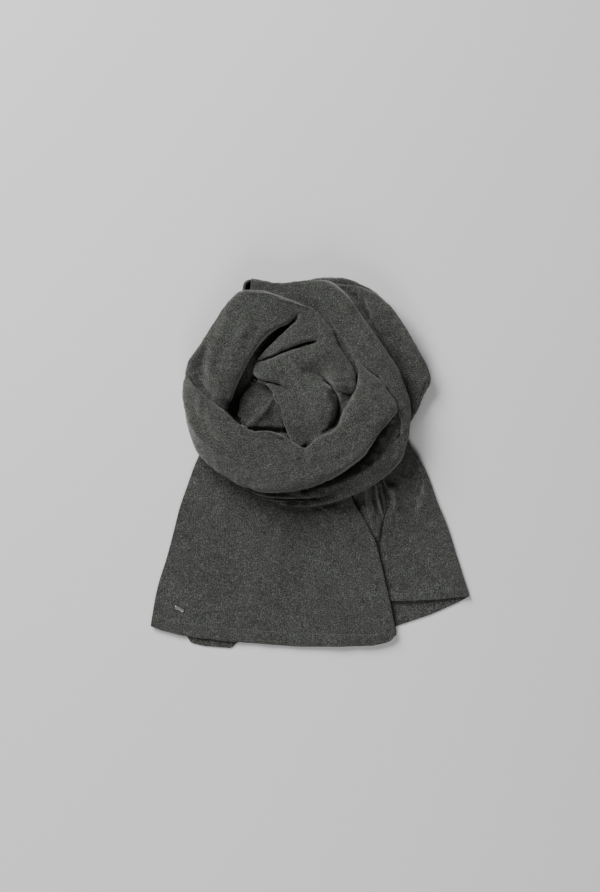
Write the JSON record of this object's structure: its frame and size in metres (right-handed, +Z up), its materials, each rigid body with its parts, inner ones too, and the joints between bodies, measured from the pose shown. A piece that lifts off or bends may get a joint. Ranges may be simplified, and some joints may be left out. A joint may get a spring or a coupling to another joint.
{
  "type": "shawl",
  "caption": "Dark knitted wool shawl, folded lengthwise, wound into a soft ring and laid flat with its tails spread below it.",
  "frame": {"origin": "the middle of the shawl's outline, on the surface that it lies on", "axes": "+Z up from that surface, -Y towards the tails' hems, +Y towards the top of the ring, +X to the right as seen from above"},
  "size_m": [0.441, 0.5106, 0.0734],
  "materials": {
    "knit": "milled fine-gauge wool knit with a soft nap",
    "bar": "satin"
  },
  "bodies": {
    "root": {"side_tail": "knit", "tail_gather": "knit", "front_tail": "knit", "trim_bar": "bar", "hidden_layers": "knit", "loop_back": "knit", "loop_outer": "knit", "inner_lobe": "knit", "loop_inner": "knit", "loop_front": "knit"}
  },
  "joints": []
}
